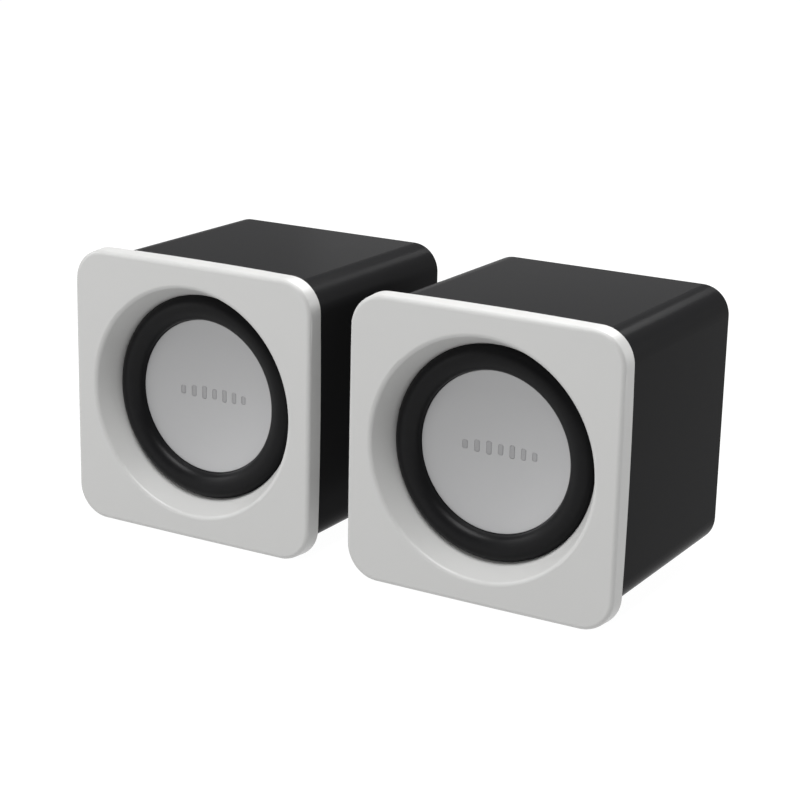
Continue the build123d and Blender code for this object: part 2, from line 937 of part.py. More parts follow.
for side, x in (("left", -unit_x), ("right", unit_x)):
    active = side == "right"
    driver_screw_places = corner_places(driver_screw_place)
    panel_screw_places = corner_places(panel_screw_place)
    panel_head_depth = panel_back - counterbore
    write(front_bezel(x), f"{side}_front_bezel")
    write(cabinet(x), f"{side}_cabinet")
    write(rear_panel(x, active), f"{side}_rear_panel")
    write(feet(x), f"{side}_feet")
    write(
        screws(x, flange_depth, driver_screw_length, driver_screw_places, backwards=False),
        f"{side}_driver_screws",
    )
    write(
        screws(x, panel_head_depth, panel_screw_length, panel_screw_places, backwards=True),
        f"{side}_panel_screws",
    )
    write(driver_gasket(x), f"{side}_driver_gasket")
    write(driver_basket(x), f"{side}_driver_basket")
    write(surround(x), f"{side}_surround")
    write(dust_cap(x), f"{side}_dust_cap")
    write(cone(x), f"{side}_cone")
    write(voice_coil(x), f"{side}_voice_coil")
    write(spider(x), f"{side}_spider")
    write(top_plate(x), f"{side}_top_plate")
    write(magnet(x), f"{side}_magnet")
    write(yoke(x), f"{side}_yoke")
    write(terminal_strip(x), f"{side}_terminal_strip")
    write(terminal_lugs(x), f"{side}_terminal_lugs")
    write(tinsel_leads(x), f"{side}_tinsel_leads")
    write(driver_wires(x, active), f"{side}_driver_wires")
    write(jack_nuts(x, jack_places(active)), f"{side}_jack_nuts")
    write(jack(x, jack_places(active)[0]), f"{side}_link_socket")

# What only the active unit has

x = unit_x
board_screw_places = [(-standoff_across, standoff_up), (standoff_across, standoff_up)]
write(jack(x, jack_places(True)[1]), "right_audio_socket")
write(power_socket(x), "right_power_socket")
write(amp_board(x), "right_amp_board")
write(amp_chip(x), "right_amp_chip")
write(wire_connector(x), "right_wire_connector")
write(capacitors(x), "right_capacitors")
write(inductors(x), "right_inductors")
write(
    screws(x, board_depth, board_screw_length, board_screw_places, backwards=False),
    "right_board_screws",
)
write(volume_pot(x), "right_volume_pot")
write(pot_nut(x), "right_pot_nut")
write(volume_shaft(x), "right_volume_shaft")
write(volume_knob(x), "right_volume_knob")
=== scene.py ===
"""Looks for a pair of cube desktop speakers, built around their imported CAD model.

Lengths in names ending in _mm are millimetres, and everything given to Blender is in metres. Object
coordinates are the row frame's: +X right seen from the front, +Y to the back, +Z up.
"""

import json
from math import cos, pi, radians, sin, tau

import bmesh
import bpy
from mathutils import Matrix, Vector
from mathutils.bvhtree import BVHTree
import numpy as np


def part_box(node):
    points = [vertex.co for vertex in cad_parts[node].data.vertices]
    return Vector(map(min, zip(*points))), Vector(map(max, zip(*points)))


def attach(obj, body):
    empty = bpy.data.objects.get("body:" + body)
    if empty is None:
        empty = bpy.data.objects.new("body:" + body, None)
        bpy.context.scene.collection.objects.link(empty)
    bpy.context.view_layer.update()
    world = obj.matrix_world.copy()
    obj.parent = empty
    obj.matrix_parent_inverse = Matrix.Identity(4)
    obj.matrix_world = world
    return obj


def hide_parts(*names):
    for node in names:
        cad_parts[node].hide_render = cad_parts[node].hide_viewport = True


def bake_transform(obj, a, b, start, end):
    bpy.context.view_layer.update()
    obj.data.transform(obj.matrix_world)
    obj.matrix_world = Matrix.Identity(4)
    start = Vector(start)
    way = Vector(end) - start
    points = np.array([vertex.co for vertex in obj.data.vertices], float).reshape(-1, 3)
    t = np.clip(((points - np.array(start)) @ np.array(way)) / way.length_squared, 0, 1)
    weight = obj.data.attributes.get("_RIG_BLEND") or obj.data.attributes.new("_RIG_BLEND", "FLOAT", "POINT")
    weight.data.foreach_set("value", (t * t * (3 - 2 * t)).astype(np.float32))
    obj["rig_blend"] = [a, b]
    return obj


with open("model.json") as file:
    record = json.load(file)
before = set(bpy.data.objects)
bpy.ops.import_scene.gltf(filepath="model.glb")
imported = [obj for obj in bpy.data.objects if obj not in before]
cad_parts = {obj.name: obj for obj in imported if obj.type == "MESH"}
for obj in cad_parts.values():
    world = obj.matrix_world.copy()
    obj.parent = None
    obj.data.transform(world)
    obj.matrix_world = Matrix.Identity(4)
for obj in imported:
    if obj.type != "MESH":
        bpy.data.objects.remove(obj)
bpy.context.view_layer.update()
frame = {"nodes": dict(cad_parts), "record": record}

MM = 0.001
SIDES = ("left", "right")
NODES = frame["nodes"]

# Places that the looks need, read from the CAD model
CAP_LOW, CAP_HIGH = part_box("right_dust_cap")
AXIS_X = (CAP_LOW.x + CAP_HIGH.x) / 2
AXIS_Z = (CAP_LOW.z + CAP_HIGH.z) / 2
CAP_RADIUS = (CAP_HIGH.x - CAP_LOW.x) / 2
FRONT_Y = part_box("right_front_bezel")[0].y
ROLL_LOW, ROLL_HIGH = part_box("right_surround")
ROLL_OUTER = (ROLL_HIGH.x - ROLL_LOW.x) / 2
LAND_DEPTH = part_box("right_driver_gasket")[1].y - FRONT_Y
PANEL_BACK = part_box("right_jack_nuts")[0].y

# Radii about a driver's axis that no node's box gives: the flare's narrow end, the glued seam where roll,
# cap and cone meet, and the outside of the voice coil's former
THROAT_RADIUS = 25.65 * MM
SEAM_RADIUS = 17.6 * MM
FORMER_RADIUS = 6.75 * MM

# Half the thickness of a printed sign, and how far a cap's mark reaches in front of the cap
INK = 0.012 * MM


def axis_x(side):
    return AXIS_X if side == "right" else -AXIS_X


# Camera, lights and floor


def add_camera():
    """A long lens, to the right of the pair and above it, rolled a little."""
    azimuth = radians(30.25)
    elevation = radians(16.16)
    roll = radians(1.33)
    distance = 0.4762
    target = Vector((AXIS_X - 20.8 * MM, FRONT_Y, AXIS_Z + 10.9 * MM))
    back = Vector((sin(azimuth) * cos(elevation), -cos(azimuth) * cos(elevation), sin(elevation)))
    level = Vector((0, 0, 1)).cross(back).normalized()
    upright = back.cross(level)
    right = level * cos(roll) + upright * sin(roll)
    up = upright * cos(roll) - level * sin(roll)

    data = bpy.data.cameras.new("camera")
    data.sensor_width = 36
    data.lens = 94.1
    data.clip_start = 0.01
    camera = bpy.data.objects.new("camera", data)
    turned = Matrix((right, up, back)).transposed().to_4x4()
    camera.matrix_world = Matrix.Translation(target + back * distance) @ turned
    bpy.context.scene.collection.objects.link(camera)
    bpy.context.scene.camera = camera


def add_softbox(name, place, aim, width, depth, power):
    """A rectangular lamp at place that faces aim."""
    data = bpy.data.lights.new(name, "AREA")
    data.shape = "RECTANGLE"
    data.size = width
    data.size_y = depth
    data.energy = power
    lamp = bpy.data.objects.new(name, data)
    lamp.location = place
    lamp.rotation_euler = (Vector(aim) - Vector(place)).to_track_quat("-Z", "Y").to_euler()
    bpy.context.scene.collection.objects.link(lamp)


def add_lights():
    """A steep key, softer lamps from the left, and lamps behind for the tops and their round corners."""
    middle = (0, 0, AXIS_Z)
    lamps = (
        # name, place, width, depth, watts
        ("key", (0, -0.35, 0.9), 0.6, 0.4, 9.8),
        ("key_left", (-0.9, -0.4, 0.6), 0.5, 0.5, 3.8),
        ("front_left", (-0.85, -0.85, 0.3), 0.5, 0.5, 1.6),
        ("top_back", (0, 0.6, 0.8), 0.6, 0.4, 9.8),
        ("rim", (0.85, 0.85, 0.3), 0.5, 0.5, 2.6),
        ("low_back", (-0.42, 0.88, 0.24), 0.3, 0.16, 0.06),
        ("corner_back", (0.04, 0.87, 0.57), 0.22, 0.16, 0.9),
    )
    for name, place, width, depth, watts in lamps:
        add_softbox(name, place, middle, width, depth, watts)
    bpy.context.scene.world = studio_world()
    bpy.context.scene.view_settings.view_transform = "Standard"


def studio_world():
    """A pale horizon that fades to a dim sky. The heights are sines of the angle above the horizon."""
    pale, dim = 0.6, 0.05
    fade_start, fade_end = 0.15, 0.30
    world = bpy.data.worlds.new("studio")
    world.use_nodes = True
    nodes = world.node_tree.nodes
    links = world.node_tree.links
    background = nodes["Background"]
    background.inputs["Color"].default_value = (1, 1, 1, 1)
    direction = nodes.new("ShaderNodeTexCoord")
    split = nodes.new("ShaderNodeSeparateXYZ")
    fall = nodes.new("ShaderNodeMapRange")
    fall.interpolation_type = "SMOOTHSTEP"
    values = (("From Min", fade_start), ("From Max", fade_end), ("To Min", pale), ("To Max", dim))
    for name, number in values:
        fall.inputs[name].default_value = number
    links.new(direction.outputs["Generated"], split.inputs[0])
    links.new(split.outputs["Z"], fall.inputs["Value"])
    links.new(fall.outputs["Result"], background.inputs["Strength"])
    return world


def add_floor():
    """A wide white table top."""
    half = 4.0
    corners = [(-half, -half, 0), (half, -half, 0), (half, half, 0), (-half, half, 0)]
    floor = mesh_object("floor", corners, [(0, 1, 2, 3)])
    floor.data.materials.append(table_white())


# Meshes


def mesh_object(name, verts, faces):
    mesh = bpy.data.meshes.new(name)
    mesh.from_pydata(verts, [], faces)
    mesh.update()
    shape = bpy.data.objects.new(name, mesh)
    bpy.context.scene.collection.objects.link(shape)
    for face in mesh.polygons:
        face.use_smooth = True
    return shape


def lathe(name, side, profile, segments):
    """A ring from a closed outline of (radius, depth behind the front face), in metres."""
    count = len(profile)
    verts = []
    for step in range(segments):
        turn = tau * step / segments
        for radius, depth in profile:
            across, up = radius * cos(turn), radius * sin(turn)
            verts.append((axis_x(side) + across, FRONT_Y + depth, AXIS_Z + up))
    faces = []
    for step in range(segments):
        here = step * count
        there = (step + 1) % segments * count
        for point in range(count):
            after = (point + 1) % count
            faces.append((here + point, here + after, there + after, there + point))
    return mesh_object(name, verts, faces)


def face_outwards(shape):
    """Turns every face of a closed mesh to look outwards."""
    shell = bmesh.new()
    shell.from_mesh(shape.data)
    bmesh.ops.recalc_face_normals(shell, faces=shell.faces)
    shell.to_mesh(shape.data)
    shell.free()


def follow_cone(shape, side, outer, inner):
    """The piece stays with the unit at radius outer, moves with the cone at inner, and flexes between."""
    middle = Vector((axis_x(side), 0, AXIS_Z))
    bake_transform(shape, f"{side}_unit", f"{side}_diaphragm", start=(0, 0, 0), end=(0, 1, 0))
    for vertex, weight in zip(shape.data.vertices, shape.data.attributes["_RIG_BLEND"].data):
        radius = Vector((vertex.co.x - middle.x, 0, vertex.co.z - middle.z)).length
        share = min(max((outer - radius) / (outer - inner), 0), 1)
        weight.value = share * share * (3 - 2 * share)


# Material nodes


class Look:
    """A material and its nodes. Most methods add a node or a few and return the socket of the result."""

    def __init__(self, name):
        self.material = bpy.data.materials.new(name)
        self.material.use_nodes = True
        self.nodes = self.material.node_tree.nodes
        self.links = self.material.node_tree.links
        self.shader = self.nodes["Principled BSDF"]

    def feed(self, socket, value):
        if isinstance(value, bpy.types.NodeSocket):
            self.links.new(value, socket)
        else:
            socket.default_value = value

    def place(self):
        """Object coordinates in millimetres."""
        scale = self.nodes.new("ShaderNodeVectorMath")
        scale.operation = "SCALE"
        self.links.new(self.nodes.new("ShaderNodeTexCoord").outputs["Object"], scale.inputs[0])
        scale.inputs["Scale"].default_value = 1 / MM
        return scale.outputs[0]

    def stretch(self, vector, factors):
        node = self.nodes.new("ShaderNodeVectorMath")
        node.operation = "MULTIPLY"
        self.feed(node.inputs[0], vector)
        node.inputs[1].default_value = factors
        return node.outputs[0]

    def axes(self, vector):
        node = self.nodes.new("ShaderNodeSeparateXYZ")
        self.feed(node.inputs[0], vector)
        return node.outputs[0], node.outputs[1], node.outputs[2]

    def vector(self, x, y, z):
        node = self.nodes.new("ShaderNodeCombineXYZ")
        for socket, value in zip(node.inputs, (x, y, z)):
            self.feed(socket, value)
        return node.outputs[0]

    def maths(self, operation, first, second=0.0):
        node = self.nodes.new("ShaderNodeMath")
        node.operation = operation
        self.feed(node.inputs[0], first)
        self.feed(node.inputs[1], second)
        return node.outputs[0]

    def noise(self, vector, per_mm, detail=3.0, roughness=0.5):
        node = self.nodes.new("ShaderNodeTexNoise")
        self.feed(node.inputs["Vector"], vector)
        node.inputs["Scale"].default_value = per_mm
        node.inputs["Detail"].default_value = detail
        node.inputs["Roughness"].default_value = roughness
        return node.outputs["Fac"]

    def cells(self, vector, per_mm):
        node = self.nodes.new("ShaderNodeTexVoronoi")
        self.feed(node.inputs["Vector"], vector)
        node.inputs["Scale"].default_value = per_mm
        return node.outputs["Distance"]

    def spread(self, value, low, high, start=0.0, end=1.0):
        """Maps start..end to low..high, held at both ends."""
        node = self.nodes.new("ShaderNodeMapRange")
        self.feed(node.inputs["Value"], value)
        for name, number in (("From Min", start), ("From Max", end), ("To Min", low), ("To Max", high)):
            node.inputs[name].default_value = number
        return node.outputs["Result"]

    def blend(self, share, first, second):
        """Mixes two colours, which are this node's inputs 6 and 7. The result is its output 2."""
        node = self.nodes.new("ShaderNodeMix")
        node.data_type = "RGBA"
        self.feed(node.inputs["Factor"], share)
        self.feed(node.inputs[6], first if isinstance(first, bpy.types.NodeSocket) else (*first, 1))
        self.feed(node.inputs[7], second if isinstance(second, bpy.types.NodeSocket) else (*second, 1))
        return node.outputs[2]

    def vary(self, colour, amount, value):
        """The colour, darker and lighter by a share of itself as value runs from 0 to 1."""
        darker = tuple(channel * (1 - amount) for channel in colour)
        lighter = tuple(min(channel * (1 + amount), 1) for channel in colour)
        return self.blend(value, darker, lighter)

    def bump(self, height, depth_mm):
        node = self.nodes.new("ShaderNodeBump")
        node.inputs["Strength"].default_value = 1.0
        node.inputs["Distance"].default_value = depth_mm * MM
        self.feed(node.inputs["Height"], height)
        return node.outputs[0]

    def waves(self, length, per_mm):
        """A sine between -1 and 1 that repeats along a length in mm."""
        return self.maths("SINE", self.maths("MULTIPLY", length, tau * per_mm))

    def from_axis(self):
        """(distance from the nearer driver's axis in mm, angle about it in radians)."""
        x, _, z = self.axes(self.place())
        across = self.maths("SUBTRACT", self.maths("ABSOLUTE", x), AXIS_X / MM)
        up = self.maths("SUBTRACT", z, AXIS_Z / MM)
        squares = self.maths("ADD", self.maths("POWER", across, 2), self.maths("POWER", up, 2))
        return self.maths("SQRT", squares), self.maths("ARCTAN2", up, across)

    def finish(self, **values):
        """Sets the shader's inputs, with underscores for the spaces in their names."""
        for name, value in values.items():
            self.feed(self.shader.inputs[name.replace("_", " ")], value)
        return self.material


def moulded(name, colour, roughness, grain_per_mm, grain_mm, mottle=0.03, gloss_spread=0.05, **values):
    """Moulded plastic: a fine spark-eroded grain, slight mottling, and patches of differing gloss.

    mottle is a share of the colour, and gloss_spread is how far the roughness goes to each side.
    """
    look = Look(name)
    place = look.place()
    patches = look.noise(place, 0.12, 4)
    grain = look.noise(place, grain_per_mm, 2, 0.6)
    pits = look.cells(place, grain_per_mm * 0.7)
    height = look.maths("ADD", grain, look.maths("MULTIPLY", pits, 0.5))
    return look.finish(
        Base_Color=look.vary(colour, mottle, patches),
        Roughness=look.spread(look.maths("ADD", patches, look.maths("MULTIPLY", grain, 0.4)),
                              roughness - gloss_spread, roughness + gloss_spread, 0.4, 1.0),
        Normal=look.bump(height, grain_mm),
        **values,
    )


def bezel_plastic():
    return moulded("bezel_plastic", (0.444, 0.444, 0.438), roughness=0.42, grain_per_mm=5.0, grain_mm=0.003,
                   mottle=0.012)


def cabinet_plastic():
    """Black, with so little gloss that the tops stay nearly as dark as the sides."""
    return moulded("cabinet_plastic", (0.0145, 0.0145, 0.015), roughness=0.23, grain_per_mm=6.0,
                   grain_mm=0.002, gloss_spread=0.01, Specular_IOR_Level=0.006)


def panel_plastic():
    return moulded("panel_plastic", (0.02, 0.02, 0.021), roughness=0.5, grain_per_mm=2.2, grain_mm=0.012)


def knob_plastic():
    return moulded("knob_plastic", (0.018, 0.018, 0.019), roughness=0.33, grain_per_mm=7.0, grain_mm=0.003)


def jack_plastic():
    """Black moulding inside the box, and a plated barrel where the socket comes through the panel."""
    look = Look("jack_plastic")
    place = look.place()
    _, y, _ = look.axes(place)
    barrel = look.maths("GREATER_THAN", y, PANEL_BACK / MM - 1.0)
    threads = look.waves(y, per_mm=2.5)
    stains = look.noise(place, 1.2, 4)
    moulding = look.vary((0.014, 0.014, 0.014), 0.1, stains)
    return look.finish(
        Base_Color=look.blend(barrel, moulding, look.vary((0.66, 0.63, 0.58), 0.08, stains)),
        Metallic=barrel,
        Roughness=look.spread(stains, 0.22, 0.34),
        Normal=look.bump(look.maths("MULTIPLY", barrel, threads), 0.02),
    )


def connector_nylon():
    return moulded("connector_nylon", (0.78, 0.74, 0.64), roughness=0.4, grain_per_mm=3.0, grain_mm=0.003,
                   Subsurface_Weight=0.15)


def chip_epoxy():
    return moulded("chip_epoxy", (0.02, 0.02, 0.02), roughness=0.55, grain_per_mm=8.0, grain_mm=0.004)


def phenolic():
    look = Look("phenolic")
    fibres = look.noise(look.stretch(look.place(), (1.0, 1.0, 6.0)), 1.2, 5, 0.6)
    return look.finish(
        Base_Color=look.blend(fibres, (0.16, 0.07, 0.02), (0.34, 0.17, 0.06)),
        Roughness=look.spread(fibres, 0.4, 0.6),
        Normal=look.bump(fibres, 0.01),
    )


def rubber(name, colour, roughness, rings_per_mm=0.0, **values):
    """Dull rubber with dust in its pores, and moulding rings about the driver's axis if asked for."""
    look = Look(name)
    place = look.place()
    pores = look.noise(place, 7.0, 3, 0.7)
    dust = look.spread(look.noise(place, 0.5, 6, 0.7), 0.0, 0.5, 0.45, 0.8)
    dusty = tuple(channel * 1.6 for channel in colour)
    height = pores
    if rings_per_mm:
        distance, _ = look.from_axis()
        rings = look.waves(distance, rings_per_mm)
        height = look.maths("ADD", pores, look.maths("MULTIPLY", rings, 0.35))
    return look.finish(
        Base_Color=look.blend(dust, colour, dusty),
        Roughness=look.spread(pores, roughness - 0.06, roughness + 0.08),
        Normal=look.bump(height, 0.004),
        **values,
    )


def roll_rubber():
    return rubber("roll_rubber", (0.005, 0.005, 0.0055), roughness=0.38, rings_per_mm=3.0,
                  Specular_IOR_Level=0.12)


def foot_rubber():
    return rubber("foot_rubber", (0.03, 0.03, 0.03), roughness=0.7)


def gasket_foam():
    look = Look("gasket_foam")
    bubbles = look.cells(look.place(), 5.0)
    return look.finish(
        Base_Color=look.blend(bubbles, (0.01, 0.01, 0.01), (0.05, 0.05, 0.05)),
        Roughness=0.9,
        Normal=look.bump(bubbles, 0.05),
    )


def cap_silver():
    """Silver lacquer: fine metal flakes over faint spinning marks."""
    look = Look("cap_silver")
    place = look.place()
    distance, angle = look.from_axis()
    flakes = look.cells(place, 9.0)
    around = look.vector(look.maths("MULTIPLY", distance, 3.0), look.maths("MULTIPLY", angle, 0.6), 0.0)
    marks = look.noise(around, 1.0, 3, 0.6)
    patches = look.noise(place, 0.1, 3)
    height = look.maths("ADD", look.maths("MULTIPLY", flakes, 0.6), marks)
    shade = look.maths("MULTIPLY", look.maths("ADD", flakes, patches), 0.6)
    return look.finish(
        Base_Color=look.vary((0.36, 0.36, 0.364), 0.04, shade),
        Metallic=0.2,
        Roughness=look.spread(look.maths("ADD", marks, patches), 0.44, 0.52, 0.6, 1.4),
        Normal=look.bump(height, 0.0015),
    )


def cap_ink():
    look = Look("cap_ink")
    place = look.place()
    speckle = look.noise(place, 5.0, 3)
    return look.finish(
        Base_Color=look.vary((0.276, 0.276, 0.28), 0.06, speckle),
        Metallic=0.2,
        Roughness=look.spread(speckle, 0.42, 0.52),
        Normal=look.bump(speckle, 0.002),
    )


def sign_ink():
    look = Look("sign_ink")
    speckle = look.noise(look.place(), 6.0, 3)
    return look.finish(
        Base_Color=look.vary((0.55, 0.55, 0.55), 0.08, speckle),
        Roughness=look.spread(speckle, 0.5, 0.65),
        Normal=look.bump(speckle, 0.004),
    )


def cone_paper():
    look = Look("cone_paper")
    place = look.place()
    fibres = look.noise(place, 2.5, 8, 0.75)
    clumps = look.noise(place, 0.5, 4)
    return look.finish(
        Base_Color=look.blend(clumps, (0.02, 0.02, 0.021), (0.05, 0.05, 0.052)),
        Roughness=look.spread(fibres, 0.75, 0.95),
        Normal=look.bump(fibres, 0.06),
    )


def spider_cloth():
    """Resin-dipped cloth: two crossed rows of threads."""
    look = Look("spider_cloth")
    x, _, z = look.axes(look.place())
    warp = look.waves(x, per_mm=1.6)
    weft = look.waves(z, per_mm=1.6)
    threads = look.spread(look.maths("MAXIMUM", warp, weft), 0.0, 1.0, -0.4, 1.0)
    return look.finish(
        Base_Color=look.blend(threads, (0.25, 0.14, 0.04), (0.62, 0.42, 0.16)),
        Roughness=look.spread(threads, 0.75, 0.55),
        Normal=look.bump(threads, 0.08),
    )


def metal(name, colour, roughness, grain=(1.0, 1.0, 1.0), per_mm=3.0, depth_mm=0.002, metallic=1.0):
    """Bare or plated metal whose brushing runs along the axis with the smallest grain factor."""
    look = Look(name)
    place = look.place()
    brushing = look.noise(look.stretch(place, grain), per_mm, 4, 0.6)
    stains = look.noise(place, 0.25, 5, 0.6)
    return look.finish(
        Base_Color=look.vary(colour, 0.10, stains),
        Metallic=metallic,
        Roughness=look.spread(look.maths("ADD", brushing, stains),
                              roughness - 0.07, roughness + 0.10, 0.6, 1.4),
        Normal=look.bump(brushing, depth_mm),
    )


def zinc_steel():
    return metal("zinc_steel", (0.60, 0.60, 0.58), roughness=0.34)


def black_steel():
    return metal("black_steel", (0.05, 0.05, 0.052), roughness=0.38)


def frame_steel():
    return metal("frame_steel", (0.03, 0.03, 0.032), roughness=0.42, metallic=0.2)


def nut_nickel():
    return metal("nut_nickel", (0.68, 0.65, 0.60), roughness=0.2, per_mm=5.0, depth_mm=0.001)


def can_aluminium():
    return metal("can_aluminium", (0.62, 0.63, 0.65), roughness=0.3, grain=(1.0, 0.1, 1.0))


def copper():
    """Enamelled winding and solder tags: turns a quarter of a millimetre apart along the axis."""
    look = Look("copper")
    place = look.place()
    _, y, _ = look.axes(place)
    turns = look.waves(y, per_mm=4.0)
    tarnish = look.noise(place, 0.8, 5)
    return look.finish(
        Base_Color=look.vary((0.62, 0.28, 0.12), 0.2, tarnish),
        Metallic=1.0,
        Roughness=look.spread(tarnish, 0.25, 0.4),
        Normal=look.bump(turns, 0.03),
    )


def ferrite():
    look = Look("ferrite")
    place = look.place()
    grit = look.noise(place, 4.0, 6, 0.7)
    chips = look.cells(place, 0.8)
    return look.finish(
        Base_Color=look.vary((0.035, 0.035, 0.038), 0.3, grit),
        Roughness=look.spread(grit, 0.5, 0.7),
        Normal=look.bump(look.maths("ADD", grit, look.maths("MULTIPLY", chips, 0.4)), 0.02),
        Metallic=0.3,
    )


def board_laminate():
    """Solder-masked laminate: copper runs show through the green as a lighter, raised grid of tracks."""
    look = Look("board_laminate")
    place = look.place()
    x, _, z = look.axes(place)
    lanes = look.waves(x, per_mm=0.4)
    bends = look.waves(z, per_mm=0.25)
    tracks = look.spread(look.maths("MULTIPLY", lanes, bends), 0.0, 1.0, 0.45, 0.5)
    weave = look.noise(place, 3.0, 2)
    return look.finish(
        Base_Color=look.blend(tracks, (0.012, 0.085, 0.03), (0.03, 0.17, 0.06)),
        Roughness=look.spread(weave, 0.28, 0.4),
        Normal=look.bump(look.maths("ADD", tracks, look.maths("MULTIPLY", weave, 0.15)), 0.035),
        Coat_Weight=0.3,
    )


def lead_sleeve():
    """Soft sleeve: the wire on the outer side of each driver's axis is red and the other is black."""
    look = Look("lead_sleeve")
    place = look.place()
    x, _, _ = look.axes(place)
    outer = look.maths("GREATER_THAN", look.maths("ABSOLUTE", x), AXIS_X / MM)
    print_through = look.noise(place, 2.0, 4)
    red = look.vary((0.42, 0.02, 0.015), 0.1, print_through)
    return look.finish(
        Base_Color=look.blend(outer, (0.012, 0.012, 0.012), red),
        Roughness=look.spread(print_through, 0.35, 0.5),
        Normal=look.bump(print_through, 0.008),
    )


def table_white():
    look = Look("table_white")
    paper = look.noise(look.place(), 0.5, 4)
    return look.finish(
        Base_Color=look.vary((0.05, 0.05, 0.05), 0.004, paper),
        Roughness=look.spread(paper, 0.55, 0.65),
        Specular_IOR_Level=0.2,
        Emission_Color=(1, 1, 1, 1),
        Emission_Strength=0.985,
    )


LOOKS = {
    "bezel_plastic": bezel_plastic,
    "cabinet_plastic": cabinet_plastic,
    "panel_plastic": panel_plastic,
    "knob_plastic": knob_plastic,
    "foot_rubber": foot_rubber,
    "roll_rubber": roll_rubber,
    "gasket_foam": gasket_foam,
    "cap_silver": cap_silver,
    "cone_paper": cone_paper,
    "spider_cloth": spider_cloth,
    "copper": copper,
    "frame_steel": frame_steel,
    "zinc_steel": zinc_steel,
    "black_steel": black_steel,
    "ferrite": ferrite,
    "phenolic": phenolic,
    "board_laminate": board_laminate,
    "chip_epoxy": chip_epoxy,
    "connector_nylon": connector_nylon,
    "can_aluminium": can_aluminium,
    "lead_sleeve": lead_sleeve,
    "jack_plastic": jack_plastic,
    "nut_nickel": nut_nickel,
}


# Pieces


def dress_cad_nodes(materials):
    """Gives every CAD node the material of its slot in the record."""
    for row in frame["record"]["subparts"]:
        node = NODES[row["node"]]
        node.data.materials.clear()
        node.data.materials.append(materials[row["material_slot"]])


def add_roll(side, material):
    """Rubber half roll, with a flat land in front of the flange and another behind the cap's edge."""
    cap_gap = 0.1 * MM
    foot_lap = 0.3 * MM
    bevel = 0.1 * MM
    inner = CAP_RADIUS + cap_gap
    sheet = 0.5 * MM
    seam = ROLL_HIGH.y - FRONT_Y
    crest = (inner + THROAT_RADIUS) / 2
    half = (THROAT_RADIUS - inner) / 2
    rise = LAND_DEPTH - (ROLL_LOW.y - FRONT_Y)
    steps = 20

    def arch(radius, height):
        points = []
        for step in range(steps + 1):
            turn = pi * step / steps
            points.append((crest - radius * cos(turn), LAND_DEPTH - height * sin(turn)))
        return points

    outline = [(SEAM_RADIUS, seam), (SEAM_RADIUS, seam - sheet), (inner - foot_lap, seam - sheet)]
    outline += arch(half, rise)
    outline += [(ROLL_OUTER - bevel, LAND_DEPTH), (ROLL_OUTER, LAND_DEPTH + bevel)]
    outline += [(ROLL_OUTER, LAND_DEPTH + sheet), (THROAT_RADIUS - sheet * 0.4, LAND_DEPTH + sheet)]
    outline += list(reversed(arch(half - sheet, rise - sheet)))
    outline += [(inner + sheet, seam)]
    piece = lathe(f"{side}_roll", side, outline, 192)
    face_outwards(piece)
    piece.data.materials.append(material)
    follow_cone(piece, side, THROAT_RADIUS, inner)
    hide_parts(f"{side}_surround")


def add_centring_disc(side, material):
    """Resin-dipped cloth in three round waves, flat where it is glued to the coil and to the ledge."""
    low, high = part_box(f"{side}_spider")
    outer = (high.x - low.x) / 2
    cloth = 0.4 * MM
    valley = high.y - FRONT_Y - cloth
    wave_height = high.y - low.y - cloth
    first = 8.6 * MM
    last = 15.8 * MM
    waves = 3
    steps = 48
    front = [(FORMER_RADIUS, valley)]
    for step in range(steps + 1):
        share = step / steps
        depth = valley - wave_height * (1 - cos(tau * waves * share)) / 2
        front.append((first + (last - first) * share, depth))
    front.append((outer, valley))
    back = [(radius, depth + cloth) for radius, depth in reversed(front)]
    piece = lathe(f"{side}_centring_disc", side, front + back, 144)
    face_outwards(piece)
    piece.data.materials.append(material)
    follow_cone(piece, side, last, first)
    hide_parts(f"{side}_spider")


def add_braids(side, material):
    """Two leads of three twisted strands, curving from the terminal strip to the back of the cone."""
    low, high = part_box(f"{side}_tinsel_leads")
    lead_radius = 0.35 * MM
    across = (high.x - low.x) / 2 - lead_radius
    strip_end = Vector((0, FRONT_Y + 18.7 * MM, AXIS_Z + 23.6 * MM))
    bend = Vector((0, FRONT_Y + 13.65 * MM, AXIS_Z + 20.0 * MM))
    cone_end = Vector((0, FRONT_Y + 13.6 * MM, AXIS_Z + 14.0 * MM))
    strand_radius = 0.17 * MM
    strand_offset = 0.18 * MM
    strands = 3
    twists = 5
    steps = 48
    sides = 8
    verts, faces = [], []
    for lead in (-1, 1):
        for strand in range(strands):
            start = len(verts)
            for step in range(steps + 1):
                share = step / steps
                near, far = strip_end.lerp(bend, share), bend.lerp(cone_end, share)
                middle = near.lerp(far, share)
                along = (far - near).normalized()
                sideways = Vector((1, 0, 0))
                upright = sideways.cross(along)
                phase = tau * (strand / strands + twists * share)
                middle += strand_offset * (cos(phase) * sideways + sin(phase) * upright)
                middle.x += axis_x(side) + lead * across
                for corner in range(sides):
                    turn = tau * corner / sides
                    verts.append(middle + strand_radius * (cos(turn) * sideways + sin(turn) * upright))
            faces += tube_faces(start, steps, sides)
    piece = mesh_object(f"{side}_braids", verts, faces)
    face_outwards(piece)
    piece.data.materials.append(material)
    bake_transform(piece, f"{side}_unit", f"{side}_diaphragm", start=strip_end, end=cone_end)
    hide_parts(f"{side}_tinsel_leads")


def tube_faces(start, steps, sides):
    """Faces of a closed tube made of steps + 1 rings of points."""
    faces = []
    for step in range(steps):
        ring = start + step * sides
        for corner in range(sides):
            after = (corner + 1) % sides
            faces.append((ring + corner, ring + after, ring + sides + after, ring + sides + corner))
    last = start + steps * sides
    faces.append(tuple(range(start, start + sides)))
    faces.append(tuple(range(last, last + sides)))
    return faces


